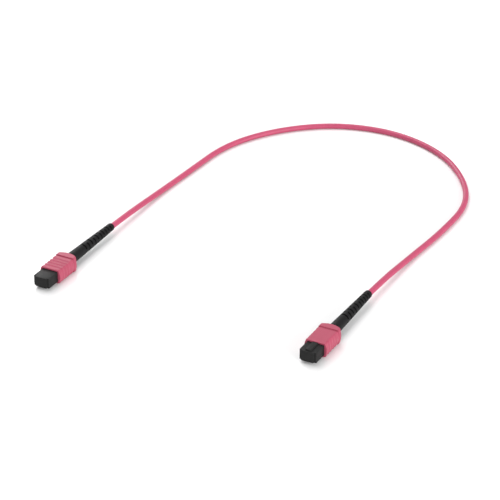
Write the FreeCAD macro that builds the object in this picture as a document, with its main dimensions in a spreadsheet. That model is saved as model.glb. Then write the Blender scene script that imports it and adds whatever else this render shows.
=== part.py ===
import FreeCAD, Part
import math
import os

import Sketcher
from FreeCAD import Placement, Rotation, Vector

# Multi-fibre patch cable: two push-pull plugs joined by a round jacketed cable.
# Row frame: +X from plug a to plug b, +Y from the plugs towards the cable's loop,
# +Z up, floor at z = 0, origin under the middle of the two plugs.
# Plug frame: x across the plug, y backwards from the plug's datum face along
# the plug axis, z towards the polarity key.

os.makedirs("parts", exist_ok=True)
doc = FreeCAD.newDocument("mpo_patch_cable")
sheet = doc.addObject("Spreadsheet::Sheet", "Sizes")


class Q:
    """A size that carries its number and the expression that drives it."""

    def __init__(self, v, e):
        self.v = float(v)
        self.e = e

    def __add__(self, o):
        o = q(o)
        return Q(self.v + o.v, "(%s + %s)" % (self.e, o.e))

    __radd__ = __add__

    def __neg__(self):
        return Q(-self.v, "(0 - %s)" % self.e)

    def __sub__(self, o):
        o = q(o)
        return Q(self.v - o.v, "(%s - %s)" % (self.e, o.e))

    def __rsub__(self, o):
        return q(o) - self

    def __mul__(self, o):
        o = q(o)
        return Q(self.v * o.v, "(%s * %s)" % (self.e, o.e))

    __rmul__ = __mul__

    def __truediv__(self, o):
        o = q(o)
        return Q(self.v / o.v, "(%s / %s)" % (self.e, o.e))


def q(x):
    return x if isinstance(x, Q) else Q(x, "%.6f" % float(x))


class Dims:
    pass


D = Dims()
row = [0]


def dim(alias, value, note):
    row[0] += 1
    sheet.set("A%d" % row[0], note)
    sheet.set("B%d" % row[0], "%.6g" % value)
    sheet.setAlias("B%d" % row[0], alias)
    setattr(D, alias, Q(value, "Sizes." + alias))


# ---- driving sizes, millimetres -------------------------------------------------
dim("plug_spacing_half", 87.2, "plug axis from the middle, along X")
dim("plug_front_y", -30.10, "plug datum faces on average, along Y")
dim("plug_stagger", 0.45, "each plug from that average: a forwards, b backwards")
dim("axis_height", 4.75, "plug axis above the floor")

dim("coup_half_h", 4.50, "grip half height behind the front taper")
dim("coup_front", 1.00, "coupling front face behind the datum")
dim("coup_crease_w", 5.94, "grip half width at the crease, behind the taper")
dim("coup_side", 7.05, "grip half width at mid height, behind the taper")
dim("coup_nose_h", 4.30, "coupling half height at the front face")
dim("coup_nose_w", 5.90, "crease half width at the front face")
dim("coup_nose_side", 7.00, "half width at mid height at the front face")
dim("coup_nose_len", 0.80, "length of the front taper")
dim("coup_end_h", 4.44, "grip half height at its rear end")
dim("coup_end_w", 5.95, "grip crease half width at its rear end")
dim("coup_end_side", 6.90, "grip half width at mid height at its rear end")
dim("coup_grip_end", 15.7, "datum to the rear end of the grip")
dim("coup_neck_h", 4.00, "half height of the groove before the flange")
dim("coup_neck_w", 5.74, "crease half width of the groove")
dim("coup_neck_side", 6.84, "half width of the groove at mid height")
dim("coup_step", 17.05, "datum to the flange step")
dim("coup_rear", 21.6, "datum to the middle of the rear edge")
dim("flange_h", 4.75, "flange half height")
dim("flange_w", 6.00, "flange half width at its crease")
dim("flange_side", 7.05, "flange half width at mid height")
dim("rear_radius", 10.7, "plan radius of the rear edge")
dim("coup_bore_w", 4.80, "coupling bore half width")
dim("coup_bore_h", 3.40, "coupling bore half height")
dim("front_bore", 2.2, "rear end of the wider mouth that takes the cap")
dim("front_bore_w", 5.30, "mouth half width")
dim("front_bore_h", 3.42, "mouth half height")
dim("rear_bore", 18.2, "start of the taller rear bore")
dim("rear_bore_h", 3.86, "rear bore half height, clear of the boot")
dim("rib_first", 2.33, "first rib crest behind the datum")
dim("rib_pitch", 2.85, "rib pitch")
dim("rib_depth", 0.50, "rib depth on the ribbed face")
dim("rib_depth_side", 0.14, "rib depth on the sides")
dim("coup_travel", 2.4, "unlocking travel of the coupling")

dim("cap_half_w", 5.20, "dust cap half width")
dim("cap_half_h", 3.25, "dust cap half height")
dim("cap_front", 9.20, "cap front ahead of the datum")
dim("cap_in", 1.50, "cap shoulder, inside the coupling's mouth")
dim("cap_rim_w", 4.65, "cap rim half width")
dim("cap_rim_h", 3.00, "cap rim half height")
dim("cap_rim_len", 2.0, "cap rim depth inside the coupling")
dim("cap_bore_w", 4.22, "cap bore half width")
dim("cap_bore_h", 2.72, "cap bore half height")
dim("cap_bore_front", 5.30, "cap bore end ahead of the datum")
dim("cap_rebate_w", 1.40, "corner rebate across")
dim("cap_rebate_l", 0.90, "corner rebate along the axis")
dim("cap_key_w", 1.75, "key hump half width")
dim("cap_key_h", 4.15, "key hump height above the axis")
dim("cap_key_front", 8.10, "key hump front ahead of the datum")
dim("cap_key_gap", 0.15, "gap between key hump and coupling face")

dim("frame_front", 4.30, "plug frame nose ahead of the datum")
dim("nose_w", 4.10, "nose half width")
dim("nose_h", 2.65, "nose half height")
dim("frame_shoulder", 4.0, "start of the guide block")
dim("guide_w", 4.65, "guide block half width")
dim("guide_h", 3.25, "guide block half height")
dim("frame_rear", 19.4, "rear end of the plug frame")
dim("key_w", 1.05, "polarity key half width")
dim("key_top", 3.12, "polarity key top above the axis")
dim("seat_y", 0.40, "ferrule flange seat")
dim("chamber_y", 4.20, "start of the spring chamber")

dim("ferrule_tip", 5.0, "ferrule end face ahead of the datum")
dim("ferrule_len", 8.0, "ferrule length")
dim("ferrule_w", 3.20, "ferrule half width")
dim("ferrule_h", 1.25, "ferrule half height")
dim("pin_pitch_half", 2.30, "guide bore from the middle")
dim("pin_radius", 0.35, "guide bore radius")
dim("fibre_pitch", 0.25, "fibre pitch")
dim("fibre_bore_r", 0.066, "fibre hole radius")
dim("ferrule_travel", 0.8, "ferrule float")

dim("spring_r", 2.16, "ferrule spring mean radius")
dim("spring_wire", 0.225, "ferrule spring wire radius")
dim("spring_front", 4.26, "ferrule spring front end")
dim("spring_back", 14.54, "ferrule spring rear end")
dim("cspring_r", 0.54, "coupling spring mean radius")
dim("cspring_wire", 0.10, "coupling spring wire radius")
dim("cspring_x", 4.86, "coupling spring axis from the middle")
dim("cspring_front", 6.92, "coupling spring front end")
dim("cspring_back", 13.96, "coupling spring rear end")

dim("barrel_r", 2.0, "crimp barrel outer radius")
dim("barrel_bore", 1.65, "crimp barrel bore radius")
dim("barrel_end", 32.0, "crimp barrel rear end")

dim("boot_front", 20.9, "boot front end")
dim("boot_tip", 69.4, "boot tip")
dim("boot_r_front", 3.62, "boot radius at the front")
dim("boot_r_tip", 2.46, "boot radius near the tip")
dim("boot_bore", 1.90, "boot bore radius on the cable")
dim("slot_depth", 0.60, "bend slot depth, part of the wall over the cable")
dim("slot_len", 1.12, "bend slot length along the axis")
dim("slot_sweep", 156.0, "bend slot sweep, degrees")

dim("jacket_r", 1.8, "cable jacket outer radius")
dim("jacket_bore", 1.4, "cable jacket bore radius")
dim("jacket_end", 36.0, "jacket end behind the datum")
dim("yarn_r", 1.3, "aramid yarn outer radius")
dim("yarn_bore", 1.0, "aramid yarn inner radius")
dim("bundle_r", 0.62, "fibre bundle radius")
doc.recompute()


# ---- helpers --------------------------------------------------------------------
def plane(body, role):
    for f in body.Origin.OriginFeatures:
        if f.Role == role:
            return f
    raise RuntimeError("no plane " + role)


def new_body(label):
    b = doc.addObject("PartDesign::Body", label)
    b.Label = label
    return b


def new_sketch(body, name, role, offset=None, shift_x=None):
    sk = body.newObject("Sketcher::SketchObject", name)
    sk.AttachmentSupport = [(plane(body, role), "")]
    sk.MapMode = "FlatFace"
    oz = q(offset) if offset is not None else q(0)
    ox = q(shift_x) if shift_x is not None else q(0)
    sk.AttachmentOffset = Placement(Vector(ox.v, 0, oz.v), Rotation())
    if offset is not None:
        sk.setExpression(".AttachmentOffset.Base.z", oz.e)
    if shift_x is not None:
        sk.setExpression(".AttachmentOffset.Base.x", ox.e)
    return sk


def pin_point(sk, geo, pos, x, y):
    """Tie one end of a line or arc to its place with driven distances."""
    for val, kind, axis in ((x, "DistanceX", -2), (y, "DistanceY", -1)):
        if abs(val.v) < 1e-9:
            sk.addConstraint(Sketcher.Constraint("PointOnObject", geo, pos, axis))
        else:
            i = sk.addConstraint(Sketcher.Constraint(kind, -1, 1, geo, pos, val.v))
            sk.setExpression("Constraints[%d]" % i, val.e)


def closed(sk, segs):
    """One closed outline. Each segment is (x, y) for a line to the next point, or
    (x, y, radius, side) for an arc to it; side +1 puts the centre on its left."""
    n = len(segs)
    pts = [(q(s[0]), q(s[1])) for s in segs]
    start = sk.GeometryCount
    ids = []
    for i, s in enumerate(segs):
        a = Vector(pts[i][0].v, pts[i][1].v, 0)
        b = Vector(pts[(i + 1) % n][0].v, pts[(i + 1) % n][1].v, 0)
        if len(s) == 2:
            ids.append((sk.addGeometry(Part.LineSegment(a, b), False), 1, 2, None))
        else:
            r, side = q(s[2]), s[3]
            mid = (a + b) * 0.5
            half = (b - a).Length / 2
            left = Vector(-(b - a).y, (b - a).x, 0).normalize()
            c = mid + left * (side * math.sqrt(max(r.v * r.v - half * half, 0.0)))
            a0 = math.atan2(a.y - c.y, a.x - c.x)
            a1 = math.atan2(b.y - c.y, b.x - c.x)
            # sketch arcs run anticlockwise from their first to their second angle
            if side > 0:
                arc = Part.ArcOfCircle(Part.Circle(c, Vector(0, 0, 1), r.v), a0, a1)
                ids.append((sk.addGeometry(arc, False), 1, 2, r))
            else:
                arc = Part.ArcOfCircle(Part.Circle(c, Vector(0, 0, 1), r.v), a1, a0)
                ids.append((sk.addGeometry(arc, False), 2, 1, r))
    for i in range(n):
        g, gs, ge, _ = ids[i]
        h, hs, he, _ = ids[(i + 1) % n]
        sk.addConstraint(Sketcher.Constraint("Coincident", g, ge, h, hs))
    for i in range(n):
        pin_point(sk, ids[i][0], ids[i][1], pts[i][0], pts[i][1])
        if ids[i][3] is not None:
            k = sk.addConstraint(Sketcher.Constraint("Radius", ids[i][0], ids[i][3].v))
            sk.setExpression("Constraints[%d]" % k, ids[i][3].e)
    return start


def rect(sk, x0, x1, y0, y1):
    closed(sk, [(x0, y0), (x1, y0), (x1, y1), (x0, y1)])


def hole(sk, x, y, r):
    x, y, r = q(x), q(y), q(r)
    g = sk.addGeometry(Part.Circle(Vector(x.v, y.v, 0), Vector(0, 0, 1), r.v), False)
    pin_point(sk, g, 3, x, y)
    k = sk.addConstraint(Sketcher.Constraint("Radius", g, r.v))
    sk.setExpression("Constraints[%d]" % k, r.e)


def symmetric(feature):
    if "SideType" in feature.PropertiesList:
        feature.SideType = "Symmetric"
    else:
        feature.Midplane = True


def volume(body):
    doc.recompute()
    return body.Shape.Volume


def pad_y(body, name, y0, y1, draw):
    """Material between two stations along the plug axis."""
    y0, y1 = q(y0), q(y1)
    sk = new_sketch(body, name + "_sk", "XZ_Plane", -y0)
    draw(sk)
    f = body.newObject("PartDesign::Pad", name)
    f.Profile = sk
    f.Length = y1.v - y0.v
    f.setExpression("Length", (y1 - y0).e)
    f.Reversed = True
    doc.recompute()
    return f


def cut_y(body, name, y0, y1, draw):
    """Opening between two stations along the plug axis."""
    y0, y1 = q(y0), q(y1)
    before = volume(body)
    sk = new_sketch(body, name + "_sk", "XZ_Plane", -y0)
    draw(sk)
    f = body.newObject("PartDesign::Pocket", name)
    f.Profile = sk
    f.Length = y1.v - y0.v
    f.setExpression("Length", (y1 - y0).e)
    f.Reversed = False
    if not volume(body) < before - 1e-4:
        f.Reversed = True
        if not volume(body) < before - 1e-4:
            raise RuntimeError("%s cuts nothing" % name)
    return f


def cut_through(body, name, role, draw, offset=None):
    """Opening through the whole piece, both ways from a middle plane."""
    before = volume(body)
    sk = new_sketch(body, name + "_sk", role, offset)
    draw(sk)
    f = body.newObject("PartDesign::Pocket", name)
    f.Profile = sk
    f.Type = "ThroughAll"
    symmetric(f)
    if not volume(body) < before - 1e-4:
        raise RuntimeError("%s cuts nothing" % name)
    return f


def pillow(sk, h, w, side):
    """Flat top and bottom, bulged sides that meet them at a crease."""
    rise = side - w
    r = (h * h + rise * rise) / (rise * 2)
    closed(
        sk,
        [
            (w, -h, r, 1),
            (w, h),
            (-w, h, r, 1),
            (-w, -h),
        ],
    )


def place(obj, pl):
    obj.Placement = pl


pieces = []


def keep(obj, label, pl=None):
    obj.Label = label
    if pl is not None:
        place(obj, pl)
    pieces.append((label, obj))


# ---- plug pieces ----------------------------------------------------------------
def make_coupling(tag, pl):
    b = new_body("coupling_" + tag)
    # grip: front taper, then a body of nearly even section
    s0 = new_sketch(b, "grip0_" + tag, "XZ_Plane", -D.coup_front)
    pillow(s0, D.coup_nose_h, D.coup_nose_w, D.coup_nose_side)
    taper_end = D.coup_front + D.coup_nose_len
    s1 = new_sketch(b, "grip1_" + tag, "XZ_Plane", -taper_end)
    pillow(s1, D.coup_half_h, D.coup_crease_w, D.coup_side)
    s2 = new_sketch(b, "grip2_" + tag, "XZ_Plane", -D.coup_grip_end)
    pillow(s2, D.coup_end_h, D.coup_end_w, D.coup_end_side)
    doc.recompute()
    loft = b.newObject("PartDesign::AdditiveLoft", "grip_" + tag)
    loft.Profile = s0
    loft.Sections = [s1, s2]
    loft.Ruled = True
    doc.recompute()
    # wave ribs across the face away from the key
    slope = (D.coup_half_h - D.coup_end_h) / (D.coup_grip_end - taper_end)

    # the crests keep a narrow flat land, so the wave starts just above the face
    land = 0.02

    def face(y):
        return D.coup_half_h + land - (y - taper_end) * slope

    crest = [D.rib_first + D.rib_pitch * i for i in range(5)]
    chord = D.rib_pitch
    wave_r = (chord * chord / 4 + D.rib_depth * D.rib_depth) / (D.rib_depth * 2)

    def top_wave(sk):
        segs = []
        for i in range(4):
            segs.append((crest[i], -face(crest[i]), wave_r, -1))
        segs.append((crest[4], -face(crest[4])))
        segs.append((crest[4], -(D.coup_half_h + 2.0)))
        segs.append((crest[0], -(D.coup_half_h + 2.0)))
        closed(sk, segs)

    cut_through(b, "face_ribs_" + tag, "YZ_Plane", top_wave)
    # wave ribs down both bulged sides, turned about each side's own axis
    rise = D.coup_side - D.coup_crease_w
    side_r = (D.coup_half_h * D.coup_half_h + rise * rise) / (rise * 2)
    side_wave = (chord * chord / 4 + D.rib_depth_side * D.rib_depth_side) / (D.rib_depth_side * 2)
    lean = (D.coup_side - D.coup_end_side) / (D.coup_grip_end - taper_end)
    for sign, end in ((1, "r"), (-1, "l")):
        before = volume(b)
        axis_x = (D.coup_side - side_r) * sign
        sk = new_sketch(b, "side_ribs_sk_%s_%s" % (end, tag), "XY_Plane", None, axis_x)
        out = [(side_r + land - (c - taper_end) * lean) * sign for c in crest]
        segs = []
        for i in range(4):
            segs.append((out[i], crest[i], side_wave, 1 if sign > 0 else -1))
        segs.append((out[4], crest[4]))
        segs.append(((side_r + 1.5) * sign, crest[4]))
        segs.append(((side_r + 1.5) * sign, crest[0]))
        # the hollows bow towards the plug axis
        segs = [s if len(s) == 2 else (s[0], s[1], s[2], -s[3]) for s in segs]
        closed(sk, segs)
        g = b.newObject("PartDesign::Groove", "side_ribs_%s_%s" % (end, tag))
        g.Profile = sk
        g.ReferenceAxis = (sk, ["V_Axis"])
        g.Angle = 60.0
        symmetric(g)
        if not volume(b) < before - 1e-4:
            raise RuntimeError("side ribs cut nothing")
    # narrow groove between the grip and the flange
    pad_y(
        b,
        "neck_" + tag,
        D.coup_grip_end - 0.1,
        D.coup_step + 0.1,
        lambda sk: pillow(sk, D.coup_neck_h, D.coup_neck_w, D.coup_neck_side),
    )
    # raised rear flange with a rear edge that is an arc in plan
    pad_y(
        b,
        "flange_" + tag,
        D.coup_step,
        D.coup_rear,
        lambda sk: pillow(sk, D.flange_h, D.flange_w, D.flange_side),
    )

    def tail(sk):
        half = 7.5
        drop = D.rear_radius.v - math.sqrt(D.rear_radius.v ** 2 - half ** 2)
        y = D.coup_rear - drop
        closed(
            sk,
            [
                (half, y, D.rear_radius, 1),
                (-half, y),
                (-half, D.coup_rear + 4.0),
                (half, D.coup_rear + 4.0),
            ],
        )

    cut_through(b, "rear_arc_" + tag, "XY_Plane", tail)
    # bore that rides on the plug frame
    cut_y(
        b,
        "bore_" + tag,
        -0.5,
        D.coup_rear + 1.0,
        lambda sk: rect(sk, -D.coup_bore_w, D.coup_bore_w, -D.coup_bore_h, D.coup_bore_h),
    )
    # wider mouth that takes the cap
    cut_y(
        b,
        "mouth_" + tag,
        -0.5,
        D.front_bore,
        lambda sk: rect(sk, -D.front_bore_w, D.front_bore_w, -D.front_bore_h, D.front_bore_h),
    )
    # taller rear bore that slides over the boot
    cut_y(
        b,
        "rear_bore_" + tag,
        D.rear_bore,
        D.coup_rear + 1.0,
        lambda sk: rect(sk, -D.coup_bore_w, D.coup_bore_w, -D.rear_bore_h, D.rear_bore_h),
    )
    # side channels for the return springs
    cut_y(
        b,
        "channels_" + tag,
        D.cspring_front - 0.06,
        D.cspring_back + 0.2,
        lambda sk: rect(sk, -5.55, 5.55, -0.78, 0.78),
    )
    # tabs that press on the springs
    pad_y(
        b,
        "tab_r_" + tag,
        D.cspring_front - 0.86,
        D.cspring_front - 0.06,
        lambda sk: rect(sk, 4.22, 5.2, -0.7, 0.7),
    )
    pad_y(
        b,
        "tab_l_" + tag,
        D.cspring_front - 0.86,
        D.cspring_front - 0.06,
        lambda sk: rect(sk, -5.2, -4.22, -0.7, 0.7),
    )
    keep(b, "coupling_" + tag, pl)


def make_dust_cap(tag, pl):
    b = new_body("dust_cap_" + tag)
    w, h = D.cap_half_w, D.cap_half_h
    c = 0.3
    f = D.cap_front
    # box with small broken long edges
    pad_y(
        b,
        "cap_box_" + tag,
        -f,
        D.cap_in,
        lambda sk: closed(
            sk,
            [
                (w, -(h - c)),
                (w, h - c),
                (w - c, h),
                (-(w - c), h),
                (-w, h - c),
                (-w, -(h - c)),
                (-(w - c), -h),
                (w - c, -h),
            ],
        ),
    )
    pad_y(
        b,
        "cap_rim_" + tag,
        D.cap_in - 0.3,
        D.cap_rim_len,
        lambda sk: rect(sk, -D.cap_rim_w, D.cap_rim_w, -D.cap_rim_h, D.cap_rim_h),
    )
    # hump over the polarity key
    pad_y(
        b,
        "cap_key_" + tag,
        -D.cap_key_front,
        D.coup_front - D.cap_key_gap,
        lambda sk: rect(sk, -D.cap_key_w, D.cap_key_w, h - 0.8, D.cap_key_h),
    )
    # rebated front corners

    def corners(sk):
        rect(sk, w - D.cap_rebate_w, w + 1.0, -(f + 1.0), -(f - D.cap_rebate_l))
        rect(sk, -(w + 1.0), -(w - D.cap_rebate_w), -(f + 1.0), -(f - D.cap_rebate_l))

    cut_through(b, "cap_corners_" + tag, "XY_Plane", corners)
    # bore over the nose, and the way for the key
    cut_y(
        b,
        "cap_bore_" + tag,
        -D.cap_bore_front,
        D.cap_rim_len + 0.5,
        lambda sk: rect(sk, -D.cap_bore_w, D.cap_bore_w, -D.cap_bore_h, D.cap_bore_h),
    )
    cut_y(
        b,
        "cap_keyway_" + tag,
        -(D.frame_front + 0.3),
        D.cap_rim_len + 0.5,
        lambda sk: rect(sk, -(D.key_w + 0.15), D.key_w + 0.15, 2.0, D.key_top + 0.15),
    )
    keep(b, "dust_cap_" + tag, pl)


def make_plug_frame(tag, pl):
    b = new_body("plug_frame_" + tag)
    c = 0.3
    pad_y(
        b,
        "nose_" + tag,
        -D.frame_front,
        D.frame_shoulder + 0.5,
        lambda sk: closed(
            sk,
            [
                (D.nose_w, -(D.nose_h - c)),
                (D.nose_w, D.nose_h - c),
                (D.nose_w - c, D.nose_h),
                (-(D.nose_w - c), D.nose_h),
                (-D.nose_w, D.nose_h - c),
                (-D.nose_w, -(D.nose_h - c)),
                (-(D.nose_w - c), -D.nose_h),
                (D.nose_w - c, -D.nose_h),
            ],
        ),
    )
    pad_y(
        b,
        "guide_" + tag,
        D.frame_shoulder,
        D.frame_rear,
        lambda sk: rect(sk, -D.guide_w, D.guide_w, -D.guide_h, D.guide_h),
    )
    pad_y(
        b,
        "key_" + tag,
        -(D.frame_front - 0.5),
        1.6,
        lambda sk: rect(sk, -D.key_w, D.key_w, D.nose_h - 0.6, D.key_top),
    )
    # ferrule window, flange seat and spring chamber, each larger than the last
    cut_y(
        b,
        "window_" + tag,
        -(D.frame_front + 0.5),
        D.seat_y + 0.2,
        lambda sk: rect(sk, -3.3, 3.3, -1.35, 1.35),
    )
    cut_y(
        b,
        "seat_" + tag,
        D.seat_y,
        D.chamber_y + 0.2,
        lambda sk: rect(sk, -3.65, 3.65, -1.8, 1.8),
    )
    cut_y(
        b,
        "chamber_" + tag,
        D.chamber_y,
        D.frame_rear + 0.5,
        lambda sk: rect(sk, -3.75, 3.75, -2.5, 2.5),
    )
    # catches for an adapter's hooks

    def catches(sk):
        rect(sk, D.nose_w - 0.3, D.nose_w + 0.5, -1.7, -0.1)
        rect(sk, -(D.nose_w + 0.5), -(D.nose_w - 0.3), -1.7, -0.1)

    cut_through(b, "catches_" + tag, "XY_Plane", catches)

    # side channels for the return springs

    def channels(sk):
        rect(sk, 4.16, D.guide_w + 0.5, -0.78, 0.78)
        rect(sk, -(D.guide_w + 0.5), -4.16, -0.78, 0.78)

    cut_y(b, "spring_way_" + tag, D.cspring_front - 0.92, D.cspring_back + 0.04, channels)

    # latch windows for the rear body
    def latch(sk):
        rect(sk, 16.2, 18.4, -1.1, 1.1)

    cut_through(b, "latch_" + tag, "YZ_Plane", latch)
    keep(b, "plug_frame_" + tag, pl)


def make_ferrule(tag, pl):
    b = new_body("ferrule_" + tag)
    tip = D.ferrule_tip
    end = D.ferrule_len - tip
    c = 0.18
    w, h = D.ferrule_w, D.ferrule_h
    pad_y(
        b,
        "block_" + tag,
        -tip,
        end,
        lambda sk: closed(
            sk,
            [
                (w, -(h - c)),
                (w, h - c),
                (w - c, h),
                (-(w - c), h),
                (-w, h - c),
                (-w, -(h - c)),
                (-(w - c), -h),
                (w - c, -h),
            ],
        ),
    )
    pad_y(
        b,
        "collar_" + tag,
        D.seat_y + 0.06,
        end,
        lambda sk: rect(sk, -3.5, 3.5, -1.6, 1.6),
    )

    # guide bores through, fibre holes to the rear pocket
    def guides(sk):
        hole(sk, D.pin_pitch_half, 0, D.pin_radius)
        hole(sk, -D.pin_pitch_half, 0, D.pin_radius)

    cut_y(b, "guides_" + tag, -(tip + 0.5), end + 0.5, guides)

    def micro(sk):
        for i in range(12):
            hole(sk, D.fibre_pitch * (i - 5.5), 0, D.fibre_bore_r)

    cut_y(b, "micro_" + tag, -(tip + 0.5), 0.0, micro)
    cut_y(
        b,
        "pocket_" + tag,
        -0.2,
        end + 0.5,
        lambda sk: rect(sk, -1.78, 1.78, -0.75, 0.75),
    )

    # filling window on the key face
    def window(sk):
        rect(sk, -1.7, 1.7, -1.9, -0.6)

    before = volume(b)
    sk = new_sketch(b, "fill_sk_" + tag, "XY_Plane", 0.35)
    window(sk)
    f = b.newObject("PartDesign::Pocket", "fill_" + tag)
    f.Profile = sk
    f.Length = 2.0
    f.Reversed = True
    if not volume(b) < before - 1e-4:
        raise RuntimeError("filling window cuts nothing")
    keep(b, "ferrule_" + tag, pl)


def make_pin_keeper(tag, pl):
    b = new_body("pin_keeper_" + tag)
    front = D.ferrule_len - D.ferrule_tip + 0.05
    pad_y(
        b,
        "plate_" + tag,
        front,
        D.chamber_y,
        lambda sk: rect(sk, -3.5, 3.5, -1.6, 1.6),
    )
    pad_y(
        b,
        "boss_" + tag,
        D.chamber_y,
        D.chamber_y + 2.0,
        lambda sk: hole(sk, 0, 0, 1.85),
    )
    cut_y(
        b,
        "sleeve_way_" + tag,
        front - 0.5,
        D.chamber_y,
        lambda sk: rect(sk, -1.75, 1.75, -0.72, 0.72),
    )
    cut_y(
        b,
        "ribbon_way_" + tag,
        D.chamber_y - 0.1,
        D.chamber_y + 2.5,
        lambda sk: rect(sk, -1.6, 1.6, -0.3, 0.3),
    )
    keep(b, "pin_keeper_" + tag, pl)


def make_ferrule_boot(tag, pl):
    b = new_body("ferrule_boot_" + tag)
    pad_y(b, "sleeve_" + tag, -0.12, 4.1, lambda sk: rect(sk, -1.7, 1.7, -0.65, 0.65))
    cut_y(b, "slit_" + tag, -0.5, 4.5, lambda sk: rect(sk, -1.55, 1.55, -0.2, 0.2))
    keep(b, "ferrule_boot_" + tag, pl)


def make_fibre_array(tag, pl):
    b = new_body("fibre_array_" + tag)
    pad_y(b, "ribbon_" + tag, -0.1, 5.2, lambda sk: rect(sk, -1.5, 1.5, -0.14, 0.14))

    def bare(sk):
        for i in range(12):
            hole(sk, D.fibre_pitch * (i - 5.5), 0, D.fibre_bore_r - 0.004)

    pad_y(b, "bare_" + tag, -D.ferrule_tip, 0.05, bare)
    keep(b, "fibre_array_" + tag, pl)


def coil(name, radius, wire, front, back, turns, x=0.0):
    """Round-wire compression coil along the plug axis."""
    length = (back - wire) - (front + wire)
    hx = doc.addObject("Part::Helix", name + "_line")
    hx.setExpression("Radius", radius.e)
    hx.setExpression("Height", length.e)
    hx.setExpression("Pitch", (length / turns).e)
    doc.recompute()
    ring = doc.addObject("Part::Circle", name + "_wire")
    ring.setExpression("Radius", wire.e)
    ring.Placement = Placement(Vector(radius.v, 0, 0), Rotation(Vector(1, 0, 0), 90))
    doc.recompute()
    sw = doc.addObject("Part::Sweep", name)
    sw.Sections = [ring]
    sw.Spine = (hx, ["Edge%d" % (i + 1) for i in range(len(hx.Shape.Edges))])
    sw.Solid = True
    sw.Frenet = True
    doc.recompute()
    # the coil grows along +Z; lay it along the plug axis
    sw.Placement = Placement(
        Vector(q(x).v, (front + wire).v, 0), Rotation(Vector(1, 0, 0), -90)
    )
    return sw


def make_springs(tag, pl):
    f = coil(
        "fspring_" + tag, D.spring_r, D.spring_wire, D.spring_front, D.spring_back, 9
    )
    f.Placement = pl.multiply(f.Placement)
    keep(f, "ferrule_spring_" + tag)
    pair = []
    for sign, end in ((1, "r"), (-1, "l")):
        s = coil(
            "cspring_%s_%s" % (end, tag),
            D.cspring_r,
            D.cspring_wire,
            D.cspring_front,
            D.cspring_back,
            11,
            D.cspring_x * sign,
        )
        pair.append(s)
    doc.recompute()
    both = doc.addObject("Part::Compound", "cspring_pair_" + tag)
    both.Links = pair
    doc.recompute()
    keep(both, "coupling_springs_" + tag, pl)


def make_spring_push(tag, pl):
    b = new_body("spring_push_" + tag)
    pad_y(
        b,
        "push_box_" + tag,
        D.spring_back + 0.06,
        D.frame_rear + 0.06,
        lambda sk: rect(sk, -3.65, 3.65, -2.4, 2.4),
    )
    pad_y(
        b,
        "push_flange_" + tag,
        D.frame_rear + 0.05,
        D.boot_front - 0.3,
        lambda sk: rect(sk, -4.3, 4.3, -3.0, 3.0),
    )
    pad_y(
        b,
        "barrel_" + tag,
        D.boot_front - 0.8,
        D.barrel_end,
        lambda sk: hole(sk, 0, 0, D.barrel_r),
    )

    def barbs(sk):
        rect(sk, 3.4, 4.3, -1.0, 1.0)

    pad_y(b, "barb_r_" + tag, 16.4, 18.2, barbs)
    pad_y(b, "barb_l_" + tag, 16.4, 18.2, lambda sk: rect(sk, -4.3, -3.4, -1.0, 1.0))
    cut_y(
        b,
        "push_bore_" + tag,
        D.spring_back - 1.0,
        D.barrel_end + 1.0,
        lambda sk: hole(sk, 0, 0, D.barrel_bore),
    )

    # slits that free the two latch arms
    def slits(sk):
        rect(sk, 2.55, 3.15, 14.0, 18.9)
        rect(sk, -3.15, -2.55, 14.0, 18.9)

    cut_through(b, "arm_slits_" + tag, "XY_Plane", slits)
    keep(b, "spring_push_" + tag, pl)


def turned(label, outline):
    """A piece turned about the plug axis; the outline is (radius, y)."""
    b = new_body(label)
    sk = new_sketch(b, label + "_sk", "XY_Plane")
    closed(sk, outline)
    r = b.newObject("PartDesign::Revolution", label + "_turn")
    r.Profile = sk
    r.ReferenceAxis = (sk, ["V_Axis"])
    r.Angle = 360.0
    doc.recompute()
    return b


def make_crimp_ring(tag, pl):
    b = turned(
        "crimp_ring_" + tag,
        [
            (2.24, 23.6),
            (2.5, 23.6),
            (2.5, D.barrel_end + 0.8),
            (2.12, D.jacket_end - 0.4),
            (2.12, D.jacket_end + 5.0),
            (D.jacket_r + 0.02, D.jacket_end + 5.0),
            (D.jacket_r + 0.02, D.jacket_end - 0.2),
            (2.24, D.barrel_end + 0.6),
        ],
    )
    # two crimp bands pressed into the sleeve
    before = volume(b)
    sk = new_sketch(b, "bands_sk_" + tag, "XY_Plane")
    rect(sk, 2.4, 2.8, 25.2, 26.6)
    rect(sk, 2.4, 2.8, 28.6, 30.0)
    g = b.newObject("PartDesign::Groove", "bands_" + tag)
    g.Profile = sk
    g.ReferenceAxis = (sk, ["V_Axis"])
    g.Angle = 360.0
    if not volume(b) < before - 1e-4:
        raise RuntimeError("crimp bands cut nothing")
    keep(b, "crimp_ring_" + tag, pl)


SLOTS = [36.0, 39.6, 43.1, 46.55, 50.15, 53.7, 56.65, 59.7, 62.55, 65.3]


def boot_radius(y):
    """Outer radius on the boot's straight taper."""
    run = D.boot_tip - 1.1 - D.boot_front
    return D.boot_r_front - (D.boot_r_front - D.boot_r_tip) * (q(y) - D.boot_front) / run


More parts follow.
